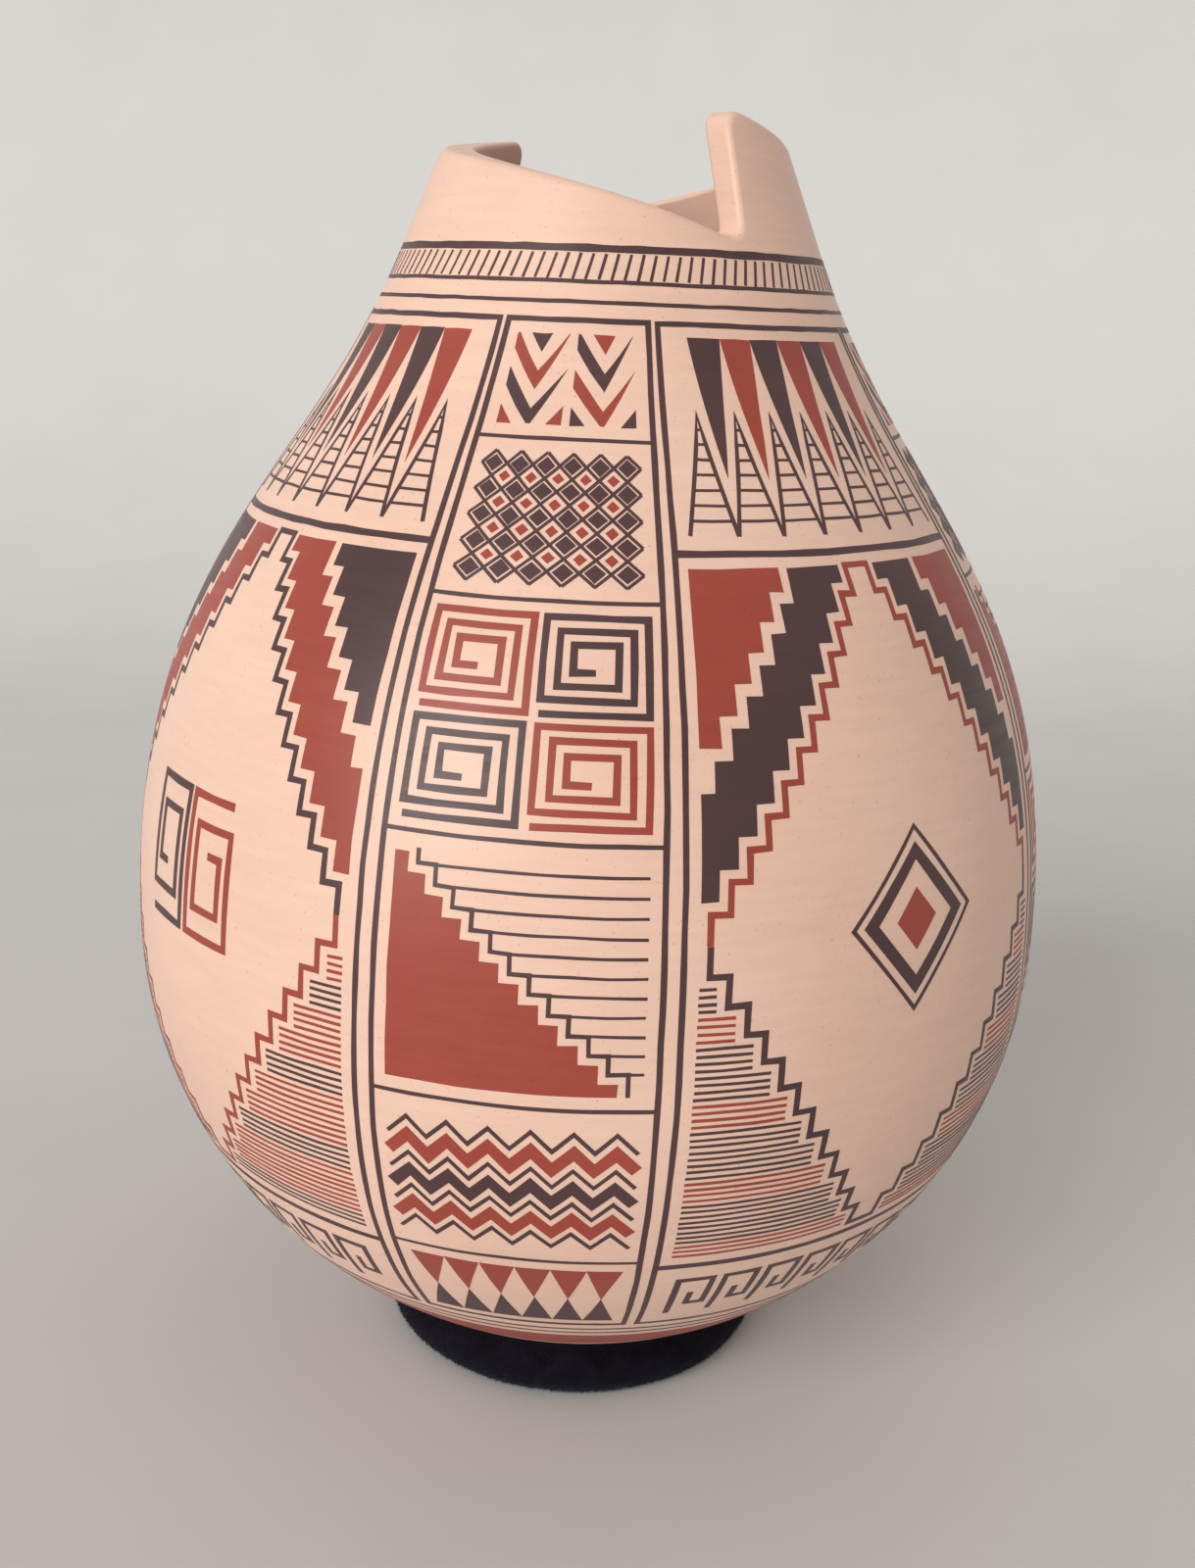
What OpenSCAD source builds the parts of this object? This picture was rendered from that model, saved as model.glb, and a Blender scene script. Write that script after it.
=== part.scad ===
// Pottery olla with a two-ramp rim, standing in a fabric-covered ring.
// Millimetres, +Z up. The origin is on the table, under the centre of the ring.

/* [Vessel] */
// Widest diameter of the vessel
belly_d = 200; // [180:1:230]
// Height of the widest place above the vessel's base
belly_h = 103; // [95:1:115]
// Diameter where the shoulder runs into the neck
neck_d = 87; // [78:1:100]
// Height where the shoulder runs into the neck, above the vessel's base
neck_h = 244; // [232:1:265]
// Inward lean of the neck, in degrees
neck_lean = 22; // [12:1:27]
// Thickness of the clay wall
wall_t = 7; // [5.5:0.5:9]

/* [Vessel curve] */
// Reach of the rounded base before it turns upward
base_reach = 36; // [24:1:44]
// Length of the upright run below the widest place
belly_run_low = 68; // [58:1:78]
// Length of the upright run above the widest place
belly_run_high = 77; // [62:1:88]
// Length of the slanting run from the shoulder into the neck
shoulder_run = 52; // [40:1:64]

/* [Rim] */
// Number of ramps cut round the rim
ramp_count = 2; // [1:1:3]
// Height of the rim's lowest place above the neck
rim_low = 2.5; // [1:0.5:7]
// Height of the rim's highest place above the neck
rim_high = 26; // [22:0.1:32]
// How much lower each further tab is than the one before it
tab_drop = 3.5; // [0:0.5:6]
// How far each further step lies past its even place round the rim
step_shift = 5; // [-8:0.5:8]
// How far the first ramp's foot lies below the straight line that the ramp starts along
first_dip = 0.5; // [0:0.5:9]
// How far a further ramp's foot lies below the straight line that the ramp starts along
foot_dip = 7.5; // [2:0.5:9]
// Slope of a ramp at its foot, in degrees
foot_slope = 22; // [15:0.5:32]
// Azimuth of the first step, in degrees from +X
step_azimuth = -54; // [-180:0.5:180]
// Slant of a step's end face along the rim
step_slant = 1.5; // [0.8:0.1:5]
// Radius of the corner at the top of a step, at the faces of the wall
step_corner_r = 2.4; // [1:0.1:5]
// Radius of the fillet at the foot of a step
step_fillet_r = 2; // [1:0.1:4]
// Radius of the rounded edges of the rim
rim_edge_r = 1.2; // [1:0.1:2.4]

/* [Ring stand] */
// Diameter of the ring's centre line
ring_d = 77; // [60:1:84]
// Outer diameter of the hose inside the ring
core_d = 9; // [8:0.5:14]
// Wall of the hose
core_wall = 1.5; // [1:0.1:2.5]
// Gap between the two ends of the hose
core_joint_gap = 0.5; // [0.2:0.1:2]
// Length of the dowel that joins the ends of the hose
plug_length = 30; // [16:1:60]
// Thickness of the fabric sleeve
cover_t = 1.3; // [1:0.1:2]
// Depth of the flat that the sleeve stands on
foot_flat = 0.6; // [0.4:0.1:0.8]

/* [Seam] */
// Direction of the sleeve's seam in the ring's section, in degrees from outward
seam_angle = 216; // [195:1:220]
// Opening between the two sewn edges of the sleeve
seam_gap = 0.5; // [0.3:0.1:1]
// Number of stitches round the ring
stitch_count = 48; // [24:1:64]
// Length of one stitch
stitch_length = 3; // [2:0.1:4]
// Diameter of the sewing thread
thread_d = 0.6; // [0.4:0.1:0.8]
// Slant of each stitch, in degrees
stitch_slant = 25; // [0:1:40]

/* [Fits] */
// Clearance between the vessel and the ring that carries it
seat_clear = 0.3; // [0.2:0.05:0.5]
// Clearance between the hose and the sleeve
cover_clear = 0.1; // [0.05:0.05:0.3]
// Clearance between the dowel and the hose's bore
plug_clear = 0.1; // [0.05:0.05:0.3]
// Clearance between the stitches and the sleeve
stitch_clear = 0.05; // [0.03:0.01:0.1]

/* [Hidden] */
$fn = 96;

// How finely the curves are divided
curve_steps = 26;
seat_steps = 400;
ramp_steps = 20;
arc_steps = 5;

clay = [0.92, 0.80, 0.68];
velvet = [0.07, 0.07, 0.10];
hose_grey = [0.55, 0.56, 0.57];
dowel_tan = [0.76, 0.60, 0.42];
thread_black = [0.13, 0.13, 0.15];

// Ring section
ring_r = ring_d / 2;
sleeve_r = core_d / 2 + cover_clear;
tube_r = sleeve_r + cover_t;
ring_z = tube_r - foot_flat;
core_bore_r = core_d / 2 - core_wall;

// Points and directions of a cubic curve with two end points and two handles
function curve_at(a, b, c, d, t) =
    pow(1 - t, 3) * a + 3 * t * pow(1 - t, 2) * b + 3 * t * t * (1 - t) * c + pow(t, 3) * d;
function curve_way(a, b, c, d, t) =
    pow(1 - t, 2) * (b - a) + 2 * t * (1 - t) * (c - b) + t * t * (d - c);
function to_left(v) = [-v[1], v[0]] / norm(v);

// Vessel profile as [radius, height above the base], from the base up to above the rim
base_point = [0, 0];
belly_point = [belly_d / 2, belly_h];
neck_point = [neck_d / 2, neck_h];
neck_way = [-sin(neck_lean), cos(neck_lean)];
base_handle = [base_reach, 0];
low_handle = belly_point - [0, belly_run_low];
high_handle = belly_point + [0, belly_run_high];
shoulder_handle = neck_point - shoulder_run * neck_way;
blank_top = rim_high + wall_t;

function low_at(t) = curve_at(base_point, base_handle, low_handle, belly_point, t);
function low_way(t) = curve_way(base_point, base_handle, low_handle, belly_point, t);
function high_at(t) = curve_at(belly_point, high_handle, shoulder_handle, neck_point, t);
function high_way(t) = curve_way(belly_point, high_handle, shoulder_handle, neck_point, t);
function neck_at(height) = neck_point + neck_way * height / neck_way[1];

outer_points = concat(
    [for (i = [0 : curve_steps]) low_at(i / curve_steps)],
    [for (i = [1 : curve_steps]) high_at(i / curve_steps)],
    [neck_at(blank_top)]);
outer_ways = concat(
    [for (i = [0 : curve_steps]) low_way(i / curve_steps)],
    [for (i = [1 : curve_steps]) high_way(i / curve_steps)],
    [neck_way]);
inner_points = [for (i = [0 : len(outer_points) - 1]) outer_points[i] + wall_t * to_left(outer_ways[i])];

// Height of the vessel's base when the rounded base rests on the ring
seat_r = tube_r + seat_clear;
seat_heights = [
    for (i = [0 : seat_steps])
        let (p = low_at(i / seat_steps), x = p[0] - ring_r)
            if (abs(x) < seat_r) ring_z + sqrt(seat_r * seat_r - x * x) - p[1]];
vessel_z = max(seat_heights);

// How far the rim cutter reaches past the faces of the wall, and the radius that it leaves free at the axis
nose_over = 0.6;
cutter_core_r = 10;

// Lengths of the ramp curve's handles, as shares of the run along the rim
top_handle = 0.55;
foot_handle = 0.2;

// Rim outline, developed as [run along the rim, height above the neck]. Each ramp starts with the rounded
// corner at the top of a step, falls along a curve and ends in the fillet at the foot of the next step.
corner_r = step_corner_r + rim_edge_r + nose_over;
rim_r = neck_at((rim_low + rim_high) / 2)[0];
rim_pitch = 2 * PI * rim_r / ramp_count;
function step_at(n) = n * (rim_pitch + step_shift);
function next_step_at(n) = n < ramp_count - 1 ? step_at(n + 1) : ramp_count * rim_pitch;
function ramp_run(n) = next_step_at(n) - step_at(n) - step_slant;
function tab_high(n) = rim_high - n * tab_drop;
function ramp_dip(n) = n == 0 ? first_dip : foot_dip;
function top_slope(n) = atan((tab_high(n) - rim_low - ramp_dip(n)) / ramp_run(n));
function corner_arc(n, a) = [corner_r * (1 - cos(a)), tab_high(n) - corner_r * (1 - sin(a))];
function fillet_arc(n, a) =
    [ramp_run(n) - step_fillet_r * (1 - sin(a)), rim_low + step_fillet_r * (1 - cos(a))];
function ramp_at(n, t) =
    let (slope = top_slope(n), start = corner_arc(n, 90 + slope), end = fillet_arc(n, -foot_slope))
        curve_at(
            start,
            start + top_handle * ramp_run(n) * [cos(slope), -sin(slope)],
            end - foot_handle * ramp_run(n) * [cos(foot_slope), -sin(foot_slope)],
            end,
            t);
function ramp_outline(n) = concat(
    [for (i = [0 : arc_steps]) corner_arc(n, (90 + top_slope(n)) * i / arc_steps)],
    [for (i = [1 : ramp_steps - 1]) ramp_at(n, i / ramp_steps)],
    [for (i = [0 : arc_steps]) fillet_arc(n, -foot_slope + (90 + foot_slope) * i / arc_steps)]);
rim_outline = [for (n = [0 : ramp_count - 1], p = ramp_outline(n)) p + [step_at(n), 0]];
outline_count = len(rim_outline);

// Point k of the outline, counted on round the rim, and the direction into the clay there
function outline_at(k) =
    let (turn = floor(k / outline_count))
        rim_outline[k - turn * outline_count] + [turn * ramp_count * rim_pitch, 0];
function into_clay(k) = -to_left(outline_at(k + 1) - outline_at(k - 1));

// Rounded nose of the rim as [offset across the wall, depth into the clay], from outside to inside.
// Two chords stand for each quarter round.
arc_45 = 1 - sqrt(0.5);
last_chord = 22.5;
half_wall = wall_t / 2;
nose_outer = [
    [half_wall + nose_over * tan(last_chord), rim_edge_r + nose_over],
    [half_wall - arc_45 * rim_edge_r, arc_45 * rim_edge_r],
    [half_wall - rim_edge_r, 0]];
nose = concat(nose_outer, [for (i = [len(nose_outer) - 1 : -1 : 0]) [-nose_outer[i][0], nose_outer[i][1]]]);

// Place on the vessel of outline point k, at one place of the nose, as [radius, height above the base, azimuth].
// The rim is level across the leaning wall, so the wall is wider there than its thickness.
level_stretch = 1 / cos(neck_lean);
function nose_at(k, across, depth) =
    let (p = outline_at(k) + depth * into_clay(k),
         q = neck_at(p[1]) + [(across - half_wall) * level_stretch, 0])
        [q[0], q[1], step_azimuth + (p[0] + step_slant / 2) / rim_r * 180 / PI];

function turned(r, z, azimuth) = [r * cos(azimuth), r * sin(azimuth), z];

// Closed section of the rim cutter at outline point k
cutter_top = neck_h + blank_top + wall_t;
function cutter_section(k) =
    let (edge = [for (n = nose) nose_at(k, n[0], n[1])],
         first = edge[0],
         last = edge[len(edge) - 1])
        concat(
            [for (e = edge) turned(e[0], e[1], e[2])],
            [turned(cutter_core_r, last[1], last[2]),
             turned(cutter_core_r, cutter_top, last[2]),
             turned(first[0], cutter_top, first[2])]);

// Everything above the rim
module rim_cutter() {
    rings = outline_count;
    sections = [for (k = [0 : rings - 1]) cutter_section(k)];
    width = len(sections[0]);
    points = [for (s = sections) each s];
    faces = [
        for (k = [0 : rings - 1], j = [0 : width - 1])
            let (a = k * width + j,
                 b = k * width + (j + 1) % width,
                 c = ((k + 1) % rings) * width + (j + 1) % width,
                 d = ((k + 1) % rings) * width + j)
                each [[a, c, b], [a, d, c]]];
    polyhedron(points, faces);
}

// Thin-walled vessel with its rim cut into ramps
module olla() {
    color(clay)
    translate([0, 0, vessel_z])
    difference() {
        rotate_extrude()
            polygon(concat(outer_points, [for (i = [len(inner_points) - 1 : -1 : 0]) inner_points[i]]));
        rim_cutter();
    }
}

// Round bar bent to the ring, as a section turned through part of a circle
module ring_bar(outer_r, hole_r, sweep) {
    translate([0, 0, ring_z])
    rotate_extrude(angle = sweep)
    translate([ring_r, 0])
    difference() {
        circle(outer_r);
        if (hole_r > 0) circle(hole_r);
    }
}

// Fabric sleeve with its open seam and the flat that it stands on
module ring_cover() {
    color(velvet)
    rotate_extrude()
    difference() {
        translate([ring_r, ring_z]) circle(tube_r);
        translate([ring_r, ring_z]) circle(sleeve_r);
        translate([ring_r, ring_z]) rotate(seam_angle)
            translate([0, -seam_gap / 2]) square([tube_r + cover_t, seam_gap]);
        translate([0, -tube_r]) square([ring_r + 2 * tube_r, tube_r]);
    }
}

// Hose hoop, open where its two ends meet
module ring_core() {
    joint_sweep = core_joint_gap / ring_r * 180 / PI;
    color(hose_grey)
    rotate([0, 0, joint_sweep / 2])
        ring_bar(core_d / 2, core_bore_r, 360 - joint_sweep);
}

// Bent dowel inside the hose, across the joint
module core_plug() {
    plug_sweep = plug_length / ring_r * 180 / PI;
    color(dowel_tan)
    rotate([0, 0, -plug_sweep / 2])
        ring_bar(core_bore_r - plug_clear, 0, plug_sweep);
}

// One stitch across the seam, bent to the sleeve, in the section plane at azimuth 0
module stitch() {
    stitch_r = tube_r + stitch_clear + thread_d / 2;
    stitch_sweep = stitch_length / stitch_r * 180 / PI;
    translate([ring_r, 0, ring_z])
    rotate([0, -seam_angle, 0])
    rotate([stitch_slant, 0, 0])
    rotate([90, 0, 0])
    rotate([0, 0, -stitch_sweep / 2])
    rotate_extrude(angle = stitch_sweep)
        translate([stitch_r, 0]) circle(thread_d / 2);
}

// All stitches round the ring
module cover_stitches() {
    color(thread_black)
    for (i = [0 : stitch_count - 1])
        rotate([0, 0, i * 360 / stitch_count]) stitch();
}

olla();
ring_cover();
ring_core();
core_plug();
cover_stitches();
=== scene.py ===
"""Looks of the pottery olla and its covered ring. Lengths are millimetres until a mesh is made."""
import math
import random

import bmesh
import bpy
import numpy as np
from mathutils import Matrix, Vector


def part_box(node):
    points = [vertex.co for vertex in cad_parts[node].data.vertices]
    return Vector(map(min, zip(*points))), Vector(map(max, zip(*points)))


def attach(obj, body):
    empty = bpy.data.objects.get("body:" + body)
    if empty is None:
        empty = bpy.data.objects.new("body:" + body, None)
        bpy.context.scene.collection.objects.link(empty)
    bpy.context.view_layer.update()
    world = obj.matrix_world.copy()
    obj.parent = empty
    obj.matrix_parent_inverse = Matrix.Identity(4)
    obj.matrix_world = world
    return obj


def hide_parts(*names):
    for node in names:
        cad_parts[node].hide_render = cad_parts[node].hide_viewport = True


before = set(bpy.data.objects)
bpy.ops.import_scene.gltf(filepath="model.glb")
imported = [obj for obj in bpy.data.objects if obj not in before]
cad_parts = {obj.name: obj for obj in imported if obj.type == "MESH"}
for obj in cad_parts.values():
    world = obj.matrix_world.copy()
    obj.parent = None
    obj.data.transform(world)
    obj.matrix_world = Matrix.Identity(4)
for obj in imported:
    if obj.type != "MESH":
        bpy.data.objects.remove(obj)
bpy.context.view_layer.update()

MM = 0.001
TAU = 2 * math.pi
SEED = 7
rng = random.Random(SEED)

# Vessel sizes, as in the part's source
olla_low, olla_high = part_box("olla")
BASE_Z = olla_low.z / MM
BELLY = np.array((olla_high.x / MM, 103.0))
NECK = np.array((43.5, 244.0))
LEAN = math.radians(22)
NECK_WAY = np.array((-math.sin(LEAN), math.cos(LEAN)))
NECK_OUT = np.array((math.cos(LEAN), math.sin(LEAN)))
WALL = 7.0
BASE_HANDLE = 36.0
LOW_HANDLE = 68.0
HIGH_HANDLE = 77.0
SHOULDER_HANDLE = 52.0
RAMPS = 2
RIM_LOW = 2.5
RIM_HIGH = 26.0
TAB_DROP = 3.5
STEP_SHIFT = 5.0
RAMP_DIPS = (0.5, 7.5)
FOOT_SLOPE = math.radians(22)
TOP_HANDLE = 0.55
FOOT_HANDLE = 0.2
STEP_AZIMUTH = math.radians(-54)
STEP_SLANT = 1.5
CORNER_R = 4.2
FILLET_R = 2.0
EDGE_R = 1.2

# Ring sizes, from the frame and as in the part's source
FOOT_FLAT = 0.6
ring_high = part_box("ring_cover")[1]
TUBE_R = (ring_high.z / MM + FOOT_FLAT) / 2
RING_Z = TUBE_R - FOOT_FLAT
RING_R = ring_high.x / MM - TUBE_R
SEAM_ANGLE = math.radians(216)
STITCHES = 48
STITCH_LENGTH = 3.0
THREAD_D = 0.6
STITCH_SLANT = math.radians(25)
STITCH_CLEAR = 0.05

# How far the modelled clay lies inside the plain CAD surface, so that the paint on it stays inside too
INSET = 0.15


def bezier(a, b, c, d, count):
    """Points and directions along a cubic curve."""
    t = np.linspace(0, 1, count)[:, None]
    point = (1 - t) ** 3 * a + 3 * t * (1 - t) ** 2 * b + 3 * t * t * (1 - t) * c + t**3 * d
    way = (1 - t) ** 2 * (b - a) + 2 * t * (1 - t) * (c - b) + t * t * (d - c)
    return point, way / np.linalg.norm(way, axis=1)[:, None]


# Outer profile of the vessel as radius and height, with its length measured from the middle of the base
HALF_POINTS = 400
low_points, low_ways = bezier(
    np.array((0.0, 0.0)), np.array((BASE_HANDLE, 0.0)), BELLY - (0, LOW_HANDLE), BELLY, HALF_POINTS)
high_points, high_ways = bezier(
    BELLY, BELLY + (0, HIGH_HANDLE), NECK - SHOULDER_HANDLE * NECK_WAY, NECK, HALF_POINTS)
profile = np.vstack((low_points, high_points[1:]))
profile_ways = np.vstack((low_ways, high_ways[1:]))
profile_out = np.column_stack((profile_ways[:, 1], -profile_ways[:, 0]))
profile_run = np.concatenate(((0,), np.cumsum(np.linalg.norm(np.diff(profile, axis=0), axis=1))))
BELLY_RUN = profile_run[HALF_POINTS - 1]
NECK_RUN = profile_run[-1]


def at_run(run, values):
    return np.interp(run, profile_run, values)


def run_at_height(height):
    return float(np.interp(height, profile[:, 1], profile_run))


def taper(run):
    """Width on the vessel of one unit of width on the flat sheet."""
    return at_run(run, profile[:, 0]) / BELLY[0]


# Waves of the hand-scraped wall: count round the vessel, length up the wall of one radian, and start
WAVES = ((3, 31, 0), (5, -23, 1), (8, 17, 2), (2, -13, 4))
WAVE_DEPTH = 0.05
WAVE_FADE = 30


def unevenness(azimuth, run):
    """How far the hand-scraped wall lies under its true shape."""
    waves = sum(np.sin(count * azimuth + run / length + start) for count, length, start in WAVES)
    fade = np.clip((NECK_RUN - run) / WAVE_FADE, 0, 1)
    return WAVE_DEPTH * (waves + len(WAVES)) / 2 * fade


def turned(radius, height, azimuth):
    """Points round the vessel's axis."""
    radius, height, azimuth = np.broadcast_arrays(radius, height, np.atleast_1d(azimuth))
    return np.column_stack((radius * np.cos(azimuth), radius * np.sin(azimuth), height + BASE_Z))


def on_clay(azimuth, run, lift):
    """Points over the vessel's outer face, and the outward directions there."""
    azimuth, run, lift = np.broadcast_arrays(np.atleast_1d(azimuth), run, lift)
    out_r = at_run(run, profile_out[:, 0])
    out_z = at_run(run, profile_out[:, 1])
    off = lift - INSET - unevenness(azimuth, run)
    radius = at_run(run, profile[:, 0]) + out_r * off
    height = at_run(run, profile[:, 1]) + out_z * off
    out = np.column_stack((out_r * np.cos(azimuth), out_r * np.sin(azimuth), out_z))
    return turned(radius, height, azimuth), out


def new_object(name, points, faces, body):
    """Mesh object from points in millimetres."""
    mesh = bpy.data.meshes.new(name)
    mesh.from_pydata((np.asarray(points) * MM).tolist(), [], [list(map(int, f)) for f in faces])
    mesh.validate()
    mesh.shade_smooth()
    made = bpy.data.objects.new(name, mesh)
    bpy.context.scene.collection.objects.link(made)
    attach(made, body)
    return made


def grid_faces(rows, columns, close_rows=False):
    """Quads of a grid whose columns close into a ring. Point (i, j) has the index i * columns + j."""
    i, j = np.meshgrid(np.arange(rows if close_rows else rows - 1), np.arange(columns), indexing="ij")
    up = (i + 1) % rows
    on = (j + 1) % columns
    quads = np.stack((i * columns + j, i * columns + on, up * columns + on, up * columns + j), axis=-1)
    return quads.reshape(-1, 4).tolist()


# Vessel

RIM_R = NECK[0] - (RIM_LOW + RIM_HIGH) / 2 * math.tan(LEAN)
RIM_PITCH = TAU * RIM_R / RAMPS
STEP_RUNS = [n * (RIM_PITCH + STEP_SHIFT) for n in range(RAMPS)] + [RAMPS * RIM_PITCH]

# Points round the rim, and rows of points up half of the wall, up the neck and over one edge of the rim
COLUMNS = 340
WALL_ROWS = 62
NECK_ROWS = 11
EDGE_ROWS = 7

# Points of a rounded corner and of a ramp, and how often the rim's outline is smoothed
ARC_POINTS = 12
RAMP_POINTS = 100
SMOOTHINGS = 3

# Length under the neck over which the columns go from the rim's spacing to even spacing
SPREAD_RUN = 70


def ramp_outline(n):
    """Ramp n from the top of a step to the foot of the next, as run along the rim and height."""
    high = RIM_HIGH - n * TAB_DROP
    ramp_run = STEP_RUNS[n + 1] - STEP_RUNS[n] - STEP_SLANT
    slope = math.atan((high - RIM_LOW - RAMP_DIPS[n]) / ramp_run)
    a = np.linspace(0, math.pi / 2 + slope, ARC_POINTS)
    corner = np.column_stack((CORNER_R * (1 - np.cos(a)), high - CORNER_R * (1 - np.sin(a))))
    a = np.linspace(-FOOT_SLOPE, math.pi / 2, ARC_POINTS)
    fillet = np.column_stack((ramp_run - FILLET_R * (1 - np.sin(a)), RIM_LOW + FILLET_R * (1 - np.cos(a))))
    top_way = np.array((math.cos(slope), -math.sin(slope)))
    foot_way = np.array((math.cos(FOOT_SLOPE), -math.sin(FOOT_SLOPE)))
    ramp, _ = bezier(
        corner[-1],
        corner[-1] + TOP_HANDLE * ramp_run * top_way,
        fillet[0] - FOOT_HANDLE * ramp_run * foot_way,
        fillet[0],
        RAMP_POINTS)
    return np.vstack((corner, ramp[1:-1], fillet)) + (STEP_RUNS[n], 0)


def rim_outline():
    """Evenly spaced points of the whole rim, with the direction into the clay at each."""
    turn = np.array((RAMPS * RIM_PITCH, 0))
    line = np.vstack([ramp_outline(n) for n in range(RAMPS)])
    line = np.vstack((line, line[:1] + turn))
    length = np.concatenate(((0,), np.cumsum(np.linalg.norm(np.diff(line, axis=0), axis=1))))
    even = np.linspace(0, length[-1], COLUMNS, endpoint=False)
    points = np.column_stack([np.interp(even, length, line[:, k]) for k in (0, 1)])
    for _ in range(SMOOTHINGS):
        before = np.vstack((points[-1:] - turn, points[:-1]))
        after = np.vstack((points[1:], points[:1] + turn))
        points = (before + 2 * points + after) / 4
    before = np.vstack((points[-1:] - turn, points[:-1]))
    after = np.vstack((points[1:], points[:1] + turn))
    way = (after - before) / np.linalg.norm(after - before, axis=1)[:, None]
    return points, np.column_stack((way[:, 1], -way[:, 0]))


outline, inward = rim_outline()


def rim_azimuth(depth):
    return STEP_AZIMUTH + (outline[:, 0] + depth * inward[:, 0] + STEP_SLANT / 2) / RIM_R


def rim_row(side, a):
    """Points and normals of the rounded rim. Side is 1 outside and -1 inside; a goes from wall to top."""
    across = side * (WALL / 2 - INSET - EDGE_R * (1 - math.cos(a)))
    depth = INSET + EDGE_R * (1 - math.sin(a))
    height = outline[:, 1] + depth * inward[:, 1]
    azimuth = rim_azimuth(depth)
    place = NECK + NECK_WAY * (height / NECK_WAY[1])[:, None]
    place[:, 0] += (across - WALL / 2) / NECK_OUT[0]
    radial = np.column_stack((np.cos(azimuth), np.sin(azimuth), np.zeros(COLUMNS)))
    along = np.column_stack((-np.sin(azimuth), np.cos(azimuth), np.zeros(COLUMNS)))
    upright = np.array((0, 0, 1))
    wall_out = NECK_OUT[0] * radial + NECK_OUT[1] * upright
    top_out = -inward[:, :1] * along - inward[:, 1:] * upright
    normal = side * math.cos(a) * wall_out + math.sin(a) * top_out
    return turned(place[:, 0], place[:, 1], azimuth), normal


def eased(t):
    t = np.clip(t, 0, 1)
    return t * t * (3 - 2 * t)


edge_azimuths = rim_azimuth(INSET + EDGE_R)
even_azimuths = np.linspace(0, TAU, COLUMNS, endpoint=False)
even_azimuths += np.mean(edge_azimuths - even_azimuths)
rows = []
low_runs = np.linspace(0, BELLY_RUN, WALL_ROWS)[1:]
high_runs = np.linspace(BELLY_RUN, NECK_RUN, WALL_ROWS)[1:]
for run in np.concatenate((low_runs, high_runs)):
    spread = eased((NECK_RUN - run) / SPREAD_RUN)
    rows.append(on_clay(edge_azimuths * (1 - spread) + even_azimuths * spread, run, 0))
neck_row = rows[-1]
outer_edge = rim_row(1, 0)
for share in np.linspace(0, 1, NECK_ROWS + 1)[1:-1]:
    rows.append((neck_row[0] * (1 - share) + outer_edge[0] * share, outer_edge[1]))
quarter = np.linspace(0, math.pi / 2, EDGE_ROWS)
rows += [rim_row(1, a) for a in quarter] + [rim_row(-1, a) for a in quarter[::-1]]
outer_rows = len(rows)
inner_edge = rows[-1]
inner = profile - (WALL - INSET) * profile_out
inner_neck = turned(inner[-1, 0], inner[-1, 1], edge_azimuths)
for share in np.linspace(0, 1, NECK_ROWS + 1)[1:]:
    rows.append((inner_edge[0] * (1 - share) + inner_neck * share, inner_edge[1]))
for run in np.linspace(NECK_RUN, 0, WALL_ROWS)[1:-1]:
    spread = eased((NECK_RUN - run) / SPREAD_RUN)
    azimuth = edge_azimuths * (1 - spread) + even_azimuths * spread
    rows.append((
        turned(at_run(run, inner[:, 0]), at_run(run, inner[:, 1]), azimuth), -on_clay(azimuth, run, 0)[1]))
rows_points = [points for points, _ in rows]
rows_normals = [normals for _, normals in rows]
shell_points = np.vstack(rows_points + [on_clay(0, 0, 0)[0], turned(0, inner[0, 1], 0)])
shell_normals = np.vstack(rows_normals + [((0, 0, -1), (0, 0, 1))])
shell_faces = grid_faces(len(rows), COLUMNS)
outer_pole = len(rows) * COLUMNS
last_row = (len(rows) - 1) * COLUMNS
for j in range(COLUMNS):
    on = (j + 1) % COLUMNS
    shell_faces.append((outer_pole, on, j))
    shell_faces.append((outer_pole + 1, last_row + j, last_row + on))
shell = new_object("olla_clay", shell_points, shell_faces, "vessel")
shell.data.normals_split_custom_set_from_vertices(shell_normals.tolist())
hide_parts("olla")


# Painted pattern, drawn on a flat sheet: x is azimuth times the belly radius, y is length up the profile

# Widths of the brush lines
LINE = 0.8
HATCH_LINE = LINE * 0.7
NET_LINE = LINE * 0.75
FRAME_LINE = 1.1
LOZENGE_LINE = 1.2
HOOK_LINE = 1.3
SPLIT_LINE = 1.4
NECK_WIDTH = 1.5
COIL_LINE = 1.6
BROAD_LINE = 2.4

# Unsteadiness of the hand: of a shape's edge, of a line's path, of a long level line, and of a line's width
FILL_WAVER = 0.1
LINE_WAVER = 0.09
LEVEL_WAVER = 0.07
WIDTH_WAVER = 0.1
STRETCH = 7.0
SHARPEST_MITRE = 0.45

# Heights of the paint over the clay, how deep it sinks in, and its longest edge before it is bent to the wall
PAINT_LIFT = 0.04
PAINT_STEP = 0.003
PAINT_LEVELS = 10
PAINT_SINK = 0.06
LONGEST_EDGE = 4.0
sheets = {"dark": bmesh.new(), "red": bmesh.new()}
shape_count = 0


def paint_level():
    """Height over the clay of the next shape. Shapes that cross have different heights."""
    global shape_count
    shape_count += 1
    return PAINT_LIFT + PAINT_STEP * (shape_count % PAINT_LEVELS)


def divided(points, closed):
    """The same line with its long stretches cut into shorter ones."""
    ends = list(points[1:]) + ([points[0]] if closed else [])
    made = []
    for (x0, y0), (x1, y1) in zip(points, ends):
        n = max(1, round(math.hypot(x1 - x0, y1 - y0) / STRETCH))
        made += [(x0 + (x1 - x0) * i / n, y0 + (y1 - y0) * i / n) for i in range(n)]
    return made if closed else made + [points[-1]]


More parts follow.
